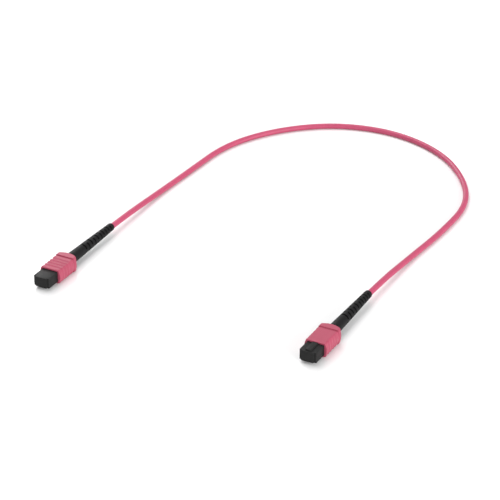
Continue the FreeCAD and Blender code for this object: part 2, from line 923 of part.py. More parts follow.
def make_boot(tag, pl):
    tip = D.boot_tip
    b = turned(
        "boot_" + tag,
        [
            (2.62, D.boot_front),
            (D.boot_r_front, D.boot_front),
            (D.boot_r_tip, tip - 1.1),
            (D.boot_r_tip - 0.12, tip - 0.35),
            (D.boot_r_tip - 0.3, tip),
            (D.boot_bore, tip),
            (D.boot_bore, D.jacket_end + 7.0),
            (2.22, D.jacket_end + 6.0),
            (2.22, D.jacket_end - 0.2),
            (2.62, D.barrel_end + 1.2),
        ],
    )
    # staggered bend slots: above and below, then left and right
    for start, role, end in ((0, "YZ_Plane", "v"), (1, "XY_Plane", "h")):
        for sign, half in ((1, "p"), (-1, "n")):
            before = volume(b)
            sk = new_sketch(b, "slots_sk_%s%s_%s" % (end, half, tag), role)
            for y in SLOTS[start::2]:
                inner = boot_radius(y) - D.slot_depth * (boot_radius(y) - D.boot_bore)
                outer = boot_radius(y) + 0.6
                if role == "YZ_Plane":
                    pts = ((q(y), inner * sign), (q(y) + D.slot_len, outer * sign))
                else:
                    pts = ((inner * sign, q(y)), (outer * sign, q(y) + D.slot_len))
                x0, x1 = sorted((pts[0][0], pts[1][0]), key=lambda s: s.v)
                y0, y1 = sorted((pts[0][1], pts[1][1]), key=lambda s: s.v)
                rect(sk, x0, x1, y0, y1)
            g = b.newObject("PartDesign::Groove", "slots_%s%s_%s" % (end, half, tag))
            g.Profile = sk
            g.ReferenceAxis = (sk, ["H_Axis" if role == "YZ_Plane" else "V_Axis"])
            g.Angle = D.slot_sweep.v
            g.setExpression("Angle", D.slot_sweep.e)
            symmetric(g)
            if not volume(b) < before - 1e-4:
                raise RuntimeError("bend slots cut nothing")
    keep(b, "boot_" + tag, pl)


# ---- cable ----------------------------------------------------------------------
# Route of the cable's centre line in the row frame: out of plug a, down to the
# floor, round the loop and back into plug b.
H = D.axis_height.v
RJ = D.jacket_r.v
XS = D.plug_spacing_half.v
YF = D.plug_front_y.v
JE = D.jacket_end.v
ST = D.plug_stagger.v
ROUTE = [
    (-XS, YF - ST + JE, H),
    (-XS, YF - ST + 81.0, H),
    (-87.4, YF + 126.8, RJ),
    (-85.3, YF + 163.3, RJ),
    (-83.3, YF + 206.8, RJ),
    (-64.7, YF + 243.1, RJ),
    (-33.4, YF + 270.2, RJ),
    (7.2, YF + 278.5, RJ),
    (47.7, YF + 264.9, RJ),
    (76.1, YF + 236.6, RJ),
    (92.2, YF + 204.3, RJ),
    (92.3, YF + 163.3, RJ),
    (88.8, YF + 126.8, RJ),
    (XS, YF + ST + 81.0, H),
    (XS, YF + ST + JE, H),
]


def path_edges(points):
    """Straight runs joined by tangent arcs as large as the runs allow."""
    p = [Vector(*t) for t in points]
    edges, radii = [], []
    at = p[0]
    for i in range(1, len(p) - 1):
        a = (p[i - 1] - p[i])
        c = (p[i + 1] - p[i])
        la, lc = a.Length, c.Length
        a.normalize()
        c.normalize()
        turn = math.pi - math.acos(max(-1.0, min(1.0, a.dot(c))))
        cutback = 0.45 * min(la, lc)
        radius = cutback / math.tan(turn / 2)
        radii.append(radius)
        t0 = p[i] + a * cutback
        t1 = p[i] + c * cutback
        bis = (a + c)
        bis.normalize()
        mid = p[i] + bis * (radius / math.cos(turn / 2) - radius)
        edges.append(Part.LineSegment(at, t0).toShape())
        edges.append(Part.Arc(t0, mid, t1).toShape())
        at = t1
    edges.append(Part.LineSegment(at, p[-1]).toShape())
    return edges, radii


edges, radii = path_edges(ROUTE)
wire = Part.Wire(edges)
print("route length %.1f mm, bend radii %s" % (wire.Length, [round(r, 1) for r in radii]))
line = doc.addObject("Part::Feature", "cable_line")
line.Shape = wire
doc.recompute()


def rod(name, radius):
    """Solid rod of one radius along the whole route."""
    ring = doc.addObject("Part::Circle", name + "_ring")
    ring.setExpression("Radius", radius.e)
    ring.Placement = Placement(Vector(*ROUTE[0]), Rotation(Vector(1, 0, 0), -90))
    doc.recompute()
    sw = doc.addObject("Part::Sweep", name)
    sw.Sections = [ring]
    sw.Spine = (line, ["Edge%d" % (i + 1) for i in range(len(wire.Edges))])
    sw.Solid = True
    sw.Frenet = False
    doc.recompute()
    want = math.pi * radius.v ** 2 * wire.Length
    got = sw.Shape.Volume
    print("%s volume %.2f, section times length %.2f" % (name, got, want))
    if abs(got - want) > 0.01 * want:
        raise RuntimeError(name + " has the wrong volume")
    return sw


def make_cable(pl_a, pl_b):
    outer = rod("jacket_outer", D.jacket_r)
    inner = rod("jacket_inner", D.jacket_bore)
    cut = doc.addObject("Part::Cut", "cable_jacket")
    cut.Base = outer
    cut.Tool = inner
    doc.recompute()
    keep(cut, "cable_jacket")

    # strength yarn along the jacket, spread back over each crimp barrel
    yo = rod("yarn_outer", D.yarn_r)
    yi = rod("yarn_inner", D.yarn_bore)
    tube = doc.addObject("Part::Cut", "yarn_tube")
    tube.Base = yo
    tube.Tool = yi
    doc.recompute()
    parts = [tube]
    for tag, pl in (("a", pl_a), ("b", pl_b)):
        flare = turned(
            "yarn_flare_" + tag,
            [
                (D.yarn_bore, D.jacket_end + 0.5),
                (D.yarn_r, D.jacket_end + 0.5),
                (D.yarn_r, D.jacket_end - 0.1),
                (2.2, D.barrel_end + 0.3),
                (2.2, 24.2),
                (D.barrel_r + 0.03, 24.2),
                (D.barrel_r + 0.03, D.barrel_end + 0.12),
                (D.yarn_bore, D.jacket_end - 0.25),
            ],
        )
        place(flare, pl)
        parts.append(flare)
    doc.recompute()
    yarn = doc.addObject("Part::MultiFuse", "aramid_yarn")
    yarn.Shapes = parts
    doc.recompute()
    keep(yarn, "aramid_yarn")

    # coated fibres: a round bundle in the cable, a flat ribbon towards each ferrule
    core = rod("bundle_core", D.bundle_r)
    parts = [core]
    for tag, pl in (("a", pl_a), ("b", pl_b)):
        fan = new_body("fan_" + tag)
        pad_y(fan, "fan_flat_" + tag, 6.2, 16.0, lambda sk: rect(sk, -1.5, 1.5, -0.14, 0.14))
        s0 = new_sketch(fan, "fan_s0_" + tag, "XZ_Plane", -15.99)
        closed(
            s0,
            [(1.5, -0.14), (1.5, 0.14), (-1.5, 0.14), (-1.5, -0.14)],
        )
        # the fan ends a little smaller, inside the round part
        s1 = new_sketch(fan, "fan_s1_" + tag, "XZ_Plane", -30.4)
        r = D.bundle_r - 0.06
        k = r * math.sqrt(0.5)
        closed(s1, [(k, -k, r, 1), (k, k, r, 1), (-k, k, r, 1), (-k, -k, r, 1)])
        doc.recompute()
        lf = fan.newObject("PartDesign::AdditiveLoft", "fan_loft_" + tag)
        lf.Profile = s0
        lf.Sections = [s1]
        lf.Ruled = True
        doc.recompute()
        pad_y(
            fan,
            "fan_round_" + tag,
            30.0,
            D.jacket_end + 0.5,
            lambda sk: hole(sk, 0, 0, D.bundle_r),
        )
        place(fan, pl)
        parts.append(fan)
    doc.recompute()
    bundle = doc.addObject("Part::MultiFuse", "fibre_bundle")
    bundle.Shapes = parts
    doc.recompute()
    keep(bundle, "fibre_bundle")


# ---- assembly -------------------------------------------------------------------
# plug a lies key down, plug b key up
place_a = Placement(
    Vector(-D.plug_spacing_half.v, D.plug_front_y.v - ST, D.axis_height.v),
    Rotation(Vector(0, 1, 0), 180),
)
place_b = Placement(
    Vector(D.plug_spacing_half.v, D.plug_front_y.v + ST, D.axis_height.v), Rotation()
)
for tag, pl in (("a", place_a), ("b", place_b)):
    make_dust_cap(tag, pl)
    make_coupling(tag, pl)
    make_plug_frame(tag, pl)
    make_ferrule(tag, pl)
    make_ferrule_boot(tag, pl)
    make_fibre_array(tag, pl)
    make_pin_keeper(tag, pl)
    make_springs(tag, pl)
    make_spring_push(tag, pl)
    make_crimp_ring(tag, pl)
    make_boot(tag, pl)
make_cable(place_a, place_b)
doc.recompute()

# ---- checks and export ----------------------------------------------------------
for o in doc.Objects:
    if "Invalid" in o.State or "Error" in o.State:
        raise RuntimeError("%s failed: %s" % (o.Name, o.State))
for label, o in pieces:
    s = o.Shape
    if s.isNull() or not s.isValid() or not s.Solids:
        raise RuntimeError(label + " has no valid solid")
for label, o in pieces:
    bb = o.Shape.BoundBox
    print(
        "%-20s solids %d vol %9.3f  x %.2f..%.2f y %.2f..%.2f z %.3f..%.3f"
        % (label, len(o.Shape.Solids), o.Shape.Volume, bb.XMin, bb.XMax, bb.YMin, bb.YMax, bb.ZMin, bb.ZMax)
    )
    o.Shape.exportStep("parts/%s.step" % label)
print("%d pieces written" % len(pieces))
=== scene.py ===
import math

import bmesh
import bpy
from mathutils import Matrix, Vector


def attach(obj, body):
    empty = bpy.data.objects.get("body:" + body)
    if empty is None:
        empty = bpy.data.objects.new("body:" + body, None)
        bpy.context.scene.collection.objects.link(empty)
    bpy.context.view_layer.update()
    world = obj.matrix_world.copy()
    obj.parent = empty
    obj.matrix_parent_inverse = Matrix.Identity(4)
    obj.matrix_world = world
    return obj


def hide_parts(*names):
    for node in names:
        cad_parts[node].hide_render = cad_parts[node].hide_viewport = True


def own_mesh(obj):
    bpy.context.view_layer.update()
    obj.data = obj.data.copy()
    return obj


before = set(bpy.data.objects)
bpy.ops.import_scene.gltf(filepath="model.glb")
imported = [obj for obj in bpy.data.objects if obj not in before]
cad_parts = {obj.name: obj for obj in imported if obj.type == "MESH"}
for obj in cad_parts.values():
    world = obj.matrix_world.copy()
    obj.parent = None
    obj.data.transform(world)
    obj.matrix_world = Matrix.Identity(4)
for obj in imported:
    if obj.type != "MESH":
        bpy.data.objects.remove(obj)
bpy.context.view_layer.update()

scene = bpy.context.scene
scene.view_settings.view_transform = "Standard"
scene.view_settings.look = "None"

# ---- camera ---------------------------------------------------------------------
AZ, EL, DIST = math.radians(28.33), math.radians(29.0), 1.24242
TARGET = Vector((-0.00210, 0.06056, 0.0))
BACK = Vector((math.sin(AZ) * math.cos(EL), -math.cos(AZ) * math.cos(EL), math.sin(EL)))
cam_data = bpy.data.cameras.new("camera")
cam_data.sensor_width = 36.0
cam_data.lens = 147.46
cam_data.clip_start, cam_data.clip_end = 0.05, 50.0
cam = bpy.data.objects.new("camera", cam_data)
scene.collection.objects.link(cam)
cam.location = TARGET + BACK * DIST
cam.rotation_mode = "QUATERNION"
cam.rotation_quaternion = (-BACK).to_track_quat("-Z", "Y")
scene.camera = cam

# ---- cable ----------------------------------------------------------------------
# centre line from inside boot a, down to the floor, round the loop and back to boot b
ROUTE = [
    (-0.0872, 0.01055, 0.00475),
    (-0.0872, 0.05045, 0.00475),
    (-0.0874, 0.0967, 0.0018),
    (-0.0853, 0.1332, 0.0018),
    (-0.0833, 0.1767, 0.0018),
    (-0.0647, 0.2130, 0.0018),
    (-0.0334, 0.2401, 0.0018),
    (0.0072, 0.2484, 0.0018),
    (0.0477, 0.2348, 0.0018),
    (0.0761, 0.2065, 0.0018),
    (0.0922, 0.1742, 0.0018),
    (0.0923, 0.1332, 0.0018),
    (0.0888, 0.0967, 0.0018),
    (0.0872, 0.05135, 0.00475),
    (0.0872, 0.01145, 0.00475),
]
line = bpy.data.curves.new("cable", "CURVE")
line.dimensions = "3D"
run = line.splines.new("NURBS")
run.points.add(len(ROUTE) - 1)
for point, place in zip(run.points, ROUTE):
    point.co = (*place, 1.0)
run.order_u = 3
run.use_endpoint_u = True
run.resolution_u = 28
line.resolution_u = 28
line.bevel_depth = 0.0018
line.bevel_resolution = 7
line.use_fill_caps = True
cable = bpy.data.objects.new("cable", line)
scene.collection.objects.link(cable)


# ---- material helpers -----------------------------------------------------------
def lin(*rgb):
    """Display colour, 0 to 255, as a linear colour."""
    out = []
    for c in rgb:
        c = c / 255.0
        out.append(c / 12.92 if c <= 0.04045 else ((c + 0.055) / 1.055) ** 2.4)
    return (*out, 1.0)


class Mat:
    """A node material with noise-driven colour, roughness and grain."""

    def __init__(self, name):
        self.mat = bpy.data.materials.new(name)
        self.mat.use_nodes = True
        self.nt = self.mat.node_tree
        self.bsdf = self.nt.nodes["Principled BSDF"]
        self.coord = self.nt.nodes.new("ShaderNodeTexCoord")

    def node(self, kind, **values):
        n = self.nt.nodes.new(kind)
        for k, v in values.items():
            setattr(n, k, v)
        return n

    def link(self, a, b):
        self.nt.links.new(a, b)

    def place(self, stretch=(1, 1, 1), source="Object"):
        m = self.node("ShaderNodeMapping")
        m.inputs["Scale"].default_value = stretch
        self.link(self.coord.outputs[source], m.inputs["Vector"])
        return m.outputs["Vector"]

    def noise(self, scale, detail=3.0, rough=0.5, stretch=(1, 1, 1), source="Object"):
        n = self.node("ShaderNodeTexNoise")
        n.inputs["Scale"].default_value = scale
        n.inputs["Detail"].default_value = detail
        n.inputs["Roughness"].default_value = rough
        self.link(self.place(stretch, source), n.inputs["Vector"])
        return n.outputs["Fac"]

    def ramp(self, fac, stops):
        r = self.node("ShaderNodeValToRGB")
        e = r.color_ramp.elements
        e[0].position, e[0].color = stops[0]
        e[1].position, e[1].color = stops[-1]
        for pos, col in stops[1:-1]:
            x = e.new(pos)
            x.color = col
        self.link(fac, r.inputs["Fac"])
        return r.outputs["Color"]

    def spread(self, fac, lo, hi, a=0.3, b=0.7):
        m = self.node("ShaderNodeMapRange")
        m.inputs["From Min"].default_value = a
        m.inputs["From Max"].default_value = b
        m.inputs["To Min"].default_value = lo
        m.inputs["To Max"].default_value = hi
        self.link(fac, m.inputs["Value"])
        return m.outputs["Result"]

    def mix(self, fac, a, b):
        m = self.node("ShaderNodeMix", data_type="RGBA")
        self.link(fac, m.inputs["Factor"])
        self.link(a, m.inputs[6])
        self.link(b, m.inputs[7])
        return m.outputs[2]

    def bump(self, heights):
        """heights: (fac, strength, distance in metres), stacked."""
        normal = None
        for fac, strength, distance in heights:
            b = self.node("ShaderNodeBump")
            b.inputs["Strength"].default_value = strength
            b.inputs["Distance"].default_value = distance
            self.link(fac, b.inputs["Height"])
            if normal is not None:
                self.link(normal, b.inputs["Normal"])
            normal = b.outputs["Normal"]
        self.link(normal, self.bsdf.inputs["Normal"])

    def set(self, **values):
        for k, v in values.items():
            self.bsdf.inputs[k.replace("_", " ")].default_value = v

    def base(self, socket):
        self.link(socket, self.bsdf.inputs["Base Color"])

    def rough(self, socket):
        self.link(socket, self.bsdf.inputs["Roughness"])


def around(colour, by):
    """Two colours a little darker and lighter than one."""
    r, g, b, _ = colour
    return (r * (1 - by), g * (1 - by), b * (1 - by), 1.0), (
        min(1, r * (1 + by)),
        min(1, g * (1 + by)),
        min(1, b * (1 + by)),
        1.0,
    )


def moulded(name, colour, vary, rough_lo, rough_hi, grain, depth, blotch=160.0):
    """Injection-moulded plastic: faint flow mottling and an eroded-mould grain."""
    m = Mat(name)
    dark, light = around(colour, vary)
    m.base(m.ramp(m.noise(blotch, 4, 0.55), [(0.30, dark), (0.70, light)]))
    m.rough(m.spread(m.noise(900.0, 3, 0.6), rough_lo, rough_hi))
    m.bump(
        [
            (m.noise(grain, 2, 0.5), 0.5, depth),
            (m.noise(blotch * 1.7, 2, 0.5), 0.25, depth * 2.0),
        ]
    )
    return m


# ---- materials ------------------------------------------------------------------
PINK = lin(164, 71, 92)
CORD = lin(174, 68, 98)

jacket = Mat("jacket_pink")
d, l = around(CORD, 0.045)
streak = jacket.noise(1.0, 4, 0.6, (26.0, 9.0, 1.0), "UV")
jacket.base(jacket.ramp(jacket.noise(240.0, 3, 0.5), [(0.3, d), (0.7, l)]))
jacket.rough(jacket.spread(streak, 0.40, 0.50))
jacket.bump(
    [
        (jacket.noise(5200.0, 2, 0.5), 0.35, 0.000012),
        (streak, 0.3, 0.00003),
    ]
)
jacket.set(Specular_IOR_Level=0.34)

coupling = moulded("coupling_pink", PINK, 0.035, 0.40, 0.52, 5200.0, 0.000016)
coupling.set(Specular_IOR_Level=0.20)

cap = moulded("cap_black", lin(38, 38, 38), 0.10, 0.36, 0.46, 4600.0, 0.00002)
cap.set(Specular_IOR_Level=0.06)
boot = moulded("boot_black", lin(21, 21, 22), 0.10, 0.50, 0.62, 4200.0, 0.00002)


def below_taper(m):
    """How far a point lies under the boots' tapered surface: 1 on a bend slot's floor; the mask for the painted
    shade in the slots.
    """
    xyz = m.node("ShaderNodeSeparateXYZ")
    m.link(m.coord.outputs["Object"], xyz.inputs["Vector"])

    def calc(kind, a, b=None):
        n = m.node("ShaderNodeMath", operation=kind)
        for socket, value in zip(n.inputs, (a, b)):
            if isinstance(value, float):
                socket.default_value = value
            elif value is not None:
                m.link(value, socket)
        return n.outputs["Value"]

    across = calc("SUBTRACT", calc("ABSOLUTE", xyz.outputs["X"]), 0.0872)
    up = calc("SUBTRACT", xyz.outputs["Z"], 0.00475)
    radius = calc("SQRT", calc("ADD", calc("MULTIPLY", across, across), calc("MULTIPLY", up, up)))
    surface = calc("SUBTRACT", 0.003395, calc("MULTIPLY", xyz.outputs["Y"], 0.024473))
    slot_shade_depth = m.spread(calc("SUBTRACT", surface, radius), 0.0, 1.0, 0.00006, 0.00026)
    return calc("MULTIPLY", slot_shade_depth, m.spread(xyz.outputs["Y"], 1.0, 0.0, 0.0378, 0.0384))


# painted shade: the bend slots' floors get a darker base colour and less specular, standing in for the shade inside
# the slots
slot_shade_mask = below_taper(boot)
shade = boot.node("ShaderNodeMix", data_type="RGBA")
boot.link(slot_shade_mask, shade.inputs["Factor"])
boot.link(boot.bsdf.inputs["Base Color"].links[0].from_socket, shade.inputs[6])
shade.inputs[7].default_value = lin(16, 16, 16)
boot.base(shade.outputs[2])
boot.link(boot.spread(slot_shade_mask, 0.15, 0.085, 0.0, 1.0), boot.bsdf.inputs["Specular IOR Level"])
shell = moulded("frame_black", lin(40, 40, 42), 0.10, 0.36, 0.50, 5200.0, 0.000014)

resin = Mat("ferrule_resin")
d, l = around(lin(58, 57, 56), 0.10)
fleck = resin.noise(9000.0, 2, 0.6)
resin.base(
    resin.mix(
        resin.spread(fleck, 0.0, 1.0, 0.62, 0.72),
        resin.ramp(resin.noise(700.0, 3, 0.5), [(0.3, d), (0.7, l)]),
        resin.ramp(resin.noise(2500.0, 2, 0.5), [(0.3, lin(92, 91, 88)), (0.7, lin(110, 108, 104))]),
    )
)
resin.rough(resin.spread(resin.noise(3000.0, 3, 0.6), 0.22, 0.34))
resin.bump([(fleck, 0.3, 0.000006)])

sleeve = moulded("sleeve_grey", lin(176, 176, 172), 0.05, 0.55, 0.68, 5200.0, 0.00002)

fibre = Mat("fibre_coating")
fibre.base(
    fibre.ramp(
        fibre.noise(1.0, 1, 0.5, (4000.0, 160.0, 4000.0)),
        [(0.25, lin(60, 150, 160)), (0.5, lin(150, 200, 200)), (0.75, lin(70, 165, 170))],
    )
)
fibre.rough(fibre.spread(fibre.noise(2500.0, 2, 0.5), 0.12, 0.22))
fibre.bump([(fibre.noise(1.0, 1, 0.5, (4000.0, 60.0, 4000.0)), 0.4, 0.00003)])
fibre.set(Coat_Weight=0.4)


def metal(name, colour, rough_lo, rough_hi, stretch, depth):
    m = Mat(name)
    dark, light = around(colour, 0.06)
    drawn = m.noise(1.0, 3, 0.6, stretch)
    m.base(m.ramp(drawn, [(0.3, dark), (0.7, light)]))
    m.rough(m.spread(m.noise(2600.0, 3, 0.6), rough_lo, rough_hi))
    m.bump([(drawn, 0.3, depth)])
    m.set(Metallic=1.0)
    return m


steel = metal("spring_steel", lin(196, 197, 200), 0.20, 0.32, (3200.0, 3200.0, 3200.0), 0.000006)
keeper = metal("keeper_steel", lin(188, 188, 188), 0.26, 0.40, (900.0, 5200.0, 5200.0), 0.000008)
crimp = metal("crimp_metal", lin(198, 194, 186), 0.24, 0.38, (700.0, 5200.0, 700.0), 0.00001)

yarn = Mat("yarn_yellow")
strand = yarn.noise(1.0, 3, 0.6, (5200.0, 240.0, 5200.0))
yarn.base(
    yarn.ramp(strand, [(0.25, lin(186, 142, 40)), (0.5, lin(222, 184, 78)), (0.75, lin(240, 208, 112))])
)
yarn.rough(yarn.spread(strand, 0.55, 0.78))
yarn.bump([(strand, 0.7, 0.00006)])
yarn.set(Sheen_Weight=0.3)

# ---- mesh helpers ---------------------------------------------------------------
# Plug frame, millimetres: x across, u backwards from the coupling's front face,
# z towards the polarity key. Plug a lies key down, plug b key up.
SMALL = Matrix.Scale(0.001, 4)
PLUG = {
    "a": Matrix.Translation((-0.0872, -0.03055, 0.00475)) @ Matrix.Rotation(math.pi, 4, "Y") @ SMALL,
    "b": Matrix.Translation((0.0872, -0.02965, 0.00475)) @ SMALL,
}


def finish_mesh(name, mesh, tag, material, body, node, sharp):
    """Put a mesh made in the plug frame into its place, as the look of one node."""
    mesh.transform(PLUG[tag])
    mesh.polygons.foreach_set("use_smooth", [True] * len(mesh.polygons))
    mesh.set_sharp_from_angle(angle=math.radians(sharp))
    mesh.materials.clear()
    mesh.materials.append(material.mat)
    o = bpy.data.objects.new(name, mesh)
    scene.collection.objects.link(o)
    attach(o, body)
    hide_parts(node)
    return o


def ring_mesh(name, rings, wrap):
    """Quads between neighbouring closed rings; wrap joins the last to the first."""
    bm = bmesh.new()
    rows = [[bm.verts.new(p) for p in ring] for ring in rings]
    n = len(rings[0])
    pairs = list(zip(rows[:-1], rows[1:]))
    if wrap:
        pairs.append((rows[-1], rows[0]))
    for a, b in pairs:
        for i in range(n):
            j = (i + 1) % n
            bm.faces.new((a[i], a[j], b[j], b[i]))
    bmesh.ops.remove_doubles(bm, verts=bm.verts, dist=1e-4)
    bmesh.ops.dissolve_degenerate(bm, edges=bm.edges, dist=1e-4)
    bmesh.ops.recalc_face_normals(bm, faces=bm.faces)
    mesh = bpy.data.meshes.new(name)
    bm.to_mesh(mesh)
    bm.free()
    return mesh


def along(table, u):
    """Straight interpolation in a table of (u, value)."""
    if u <= table[0][0]:
        return table[0][1]
    for (a, x), (b, y) in zip(table, table[1:]):
        if u <= b:
            return x + (y - x) * (u - a) / (b - a)
    return table[-1][1]


def soft(f, u, reach):
    """f averaged over a short reach, which rounds its corners."""
    return sum(f(u + reach * k / 4.0) for k in range(-4, 5)) / 9.0


def step(x):
    x = max(0.0, min(1.0, x))
    return x * x * (3 - 2 * x)


# ---- coupling -------------------------------------------------------------------
FRONT_U = 1.0
H = [(FRONT_U, 4.30), (FRONT_U + 0.80, 4.50), (15.7, 4.44)]
W = [(FRONT_U, 5.90), (FRONT_U + 0.80, 5.94), (15.7, 5.95)]
S = [(FRONT_U, 7.00), (FRONT_U + 0.80, 7.05), (15.7, 6.90)]
NECK = (4.00, 5.74, 6.84)
FLANGE = (4.75, 6.00, 7.05)
RIB0, PITCH, RIBS = 2.33, 2.85, 4
GRIP_U, STEP_U, REAR_U, REAR_R = 15.7, 17.05, 21.6, 10.7


def wave(u, depth):
    """Hollows between the rib crests."""
    t = (u - RIB0) / PITCH
    if t <= 0 or t >= RIBS:
        return 0.0
    t -= math.floor(t)
    return max(0.0, depth * 4 * t * (1 - t) - 0.02)


def section(top, bottom, w, h, side, dent, inset):
    """Closed outline of the coupling: flat key face, other face, bulged sides."""
    rise = side - w
    r = (h * h + rise * rise) / (2 * rise)
    xc = side - r
    rs = r - dent - inset
    zt, zb = top - inset, bottom - inset
    xt, xb = xc + math.sqrt(rs * rs - zt * zt), xc + math.sqrt(rs * rs - zb * zb)
    cut = 0.62
    at, ab = math.asin(zt / rs) - cut / rs, math.asin(zb / rs) - cut / rs
    half = [((xt - cut) * i / 8.0, zt) for i in range(8)]

    def corner(p, c, q_):
        return [
            (
                (1 - t) ** 2 * p[0] + 2 * t * (1 - t) * c[0] + t * t * q_[0],
                (1 - t) ** 2 * p[1] + 2 * t * (1 - t) * c[1] + t * t * q_[1],
            )
            for t in (0.0, 0.25, 0.5, 0.75)
        ]

    on = lambda a: (xc + rs * math.cos(a), rs * math.sin(a))
    half += corner((xt - cut, zt), (xt, zt), on(at))
    half += [on(at + (-ab - at) * i / 20.0) for i in range(20)]
    half += corner(on(-ab), (xb, -zb), (xb - cut, -zb))
    half += [((xb - cut) * (1 - i / 8.0), -zb) for i in range(8)]
    half.append((0.0, -zb))
    return half + [(-x, z) for x, z in reversed(half[1:-1])]


def bore(w, h, notch=None):
    """Closed outline of the bore, point for point with the outside."""
    notch = w if notch is None else notch
    r = 0.2
    zs = [3.0, 2.6, 2.2, 1.8, 1.4, 1.05, 0.72, 0.72, 0.45, 0.2, 0.0]
    zs = [z * (h - r) / 3.2 if z > 1.0 else z for z in zs]
    zs[0] = h - r
    zs = zs + [-z for z in reversed(zs[:-1])]
    half = [((w - r) * i / 8.0, h) for i in range(8)]
    for t in (0.0, 0.25, 0.5, 0.75):
        a = math.pi / 2 * (1 - t)
        half.append((w - r + r * math.cos(a), h - r + r * math.sin(a)))
    for i in range(20):
        half.append((notch if 7 <= i <= 13 else w, zs[i]))
    for t in (0.0, 0.25, 0.5, 0.75):
        a = -math.pi / 2 * t
        half.append((w - r + r * math.cos(a), -(h - r) + r * math.sin(a)))
    half += [((w - r) * (1 - i / 8.0), -h) for i in range(8)]
    half.append((0.0, -h))
    return half + [(-x, z) for x, z in reversed(half[1:-1])]


def rear(x):
    return REAR_U - (REAR_R - math.sqrt(REAR_R * REAR_R - min(abs(x), 9.0) ** 2))


def coupling_mesh(name):
    rings = []
    # grip from the front edge to the groove before the flange
    us = [FRONT_U + d for d in (0.0, 0.03, 0.08, 0.14, 0.24)]
    u = FRONT_U + 0.38
    while u < GRIP_U - 0.26:
        us.append(u)
        u += 0.13
    edge = 0.20
    for u in us:
        d = u - FRONT_U
        inset = edge - math.sqrt(edge * edge - (edge - d) ** 2) if d < edge else 0.0
        h, w, s = (soft(lambda v, t=t: along(t, max(v, FRONT_U)), u, 0.22) for t in (H, W, S))
        face = soft(lambda v: wave(v, 0.52), u, 0.13)
        side = soft(lambda v: wave(v, 0.16), u, 0.16)
        rings.append([(x, u, z) for x, z in section(h, h - face, w, h, s, side, inset)])

    def plain(size, inset):
        h, w, s = size
        return section(h, h, w, h, s, 0.0, inset)

    def blend(a, b, k):
        return [(p[0] + (q_[0] - p[0]) * k, p[1] + (q_[1] - p[1]) * k) for p, q_ in zip(a, b)]

    # groove with rounded edges, flush with the grip low on the sides
    grip, neck, ring = plain((H[-1][1], W[-1][1], S[-1][1]), 0.0), plain(NECK, 0.0), plain(FLANGE, 0.0)
    for k in range(11):
        rings.append([(x, GRIP_U - 0.12 + 0.036 * k, z) for x, z in blend(grip, neck, step(k / 10.0))])
    for k in range(11):
        rings.append([(x, STEP_U - 0.14 + 0.028 * k, z) for x, z in blend(neck, ring, step(k / 10.0))])
    # flange, with its rear edge on an arc
    for k in range(1, 9):
        rings.append([(x, STEP_U + 0.14 + (rear(x) - 0.22 - STEP_U - 0.14) * k / 8.0, z) for x, z in ring])
    for back, inset in ((0.12, 0.02), (0.05, 0.07), (0.015, 0.13), (0.0, 0.20)):
        rings.append([(x, rear(x) - back, z) for x, z in plain(FLANGE, inset)])
    # bore from the rear to the front, with the spring channels, their tabs and the mouth
    rings.append([(x, rear(x), z) for x, z in bore(4.92, 3.98)])
    rings.append([(x, rear(x) - 0.14, z) for x, z in bore(4.80, 3.86)])
    for u, w, h, notch in (
        (18.20, 4.80, 3.86, 4.80),
        (18.20, 4.80, 3.40, 4.80),
        (14.16, 4.80, 3.40, 4.80),
        (14.16, 4.80, 3.40, 5.55),
        (6.86, 4.80, 3.40, 5.55),
        (6.86, 4.80, 3.40, 4.22),
        (6.06, 4.80, 3.40, 4.22),
        (6.06, 4.80, 3.40, 4.80),
        (2.20, 4.80, 3.40, 4.80),
        (2.20, 5.30, 3.42, 5.30),
        (FRONT_U + 0.08, 5.30, 3.42, 5.30),
        (FRONT_U, 5.34, 3.46, 5.34),
    ):
        rings.append([(x, u, z) for x, z in bore(w, h, notch)])
    return ring_mesh(name, rings, True)


# ---- boot -----------------------------------------------------------------------
SLOTS = [36.0, 39.6, 43.1, 46.55, 50.15, 53.7, 56.65, 59.7, 62.55, 65.3]
SLOT_LEN, SLOT_DEPTH, SLOT_HALF = 1.12, 0.60, math.radians(78.0)
BOOT_U0, BOOT_U1 = 20.9, 69.4
BOOT_R0, BOOT_R1, BOOT_BORE = 3.62, 2.46, 1.90


def boot_radius(u):
    taper = BOOT_R0 - (BOOT_R0 - BOOT_R1) * (u - BOOT_U0) / (BOOT_U1 - 1.1 - BOOT_U0)
    tip = BOOT_U1 - 0.9
    if u > tip:
        k = (u - tip) / 0.9
        taper -= 0.30 * (1 - math.sqrt(max(0.0, 1 - k * k)))
    return taper


def slot_cut(u, a):
    cut = 0.0
    for k, s in enumerate(SLOTS):
        if not s - 0.01 < u < s + SLOT_LEN + 0.01:
            continue
        first = math.pi / 2 if k % 2 == 0 else 0.0
        ends = 0.0
        for c in (first, first + math.pi):
            d = abs((a - c + math.pi) % (2 * math.pi) - math.pi)
            ends = max(ends, step((SLOT_HALF - d) / math.radians(5.0)))
        walls = step((u - s) / 0.10) * step((s + SLOT_LEN - u) / 0.10)
        cut = max(cut, ends * walls * SLOT_DEPTH * (boot_radius(u) - BOOT_BORE))
    return cut


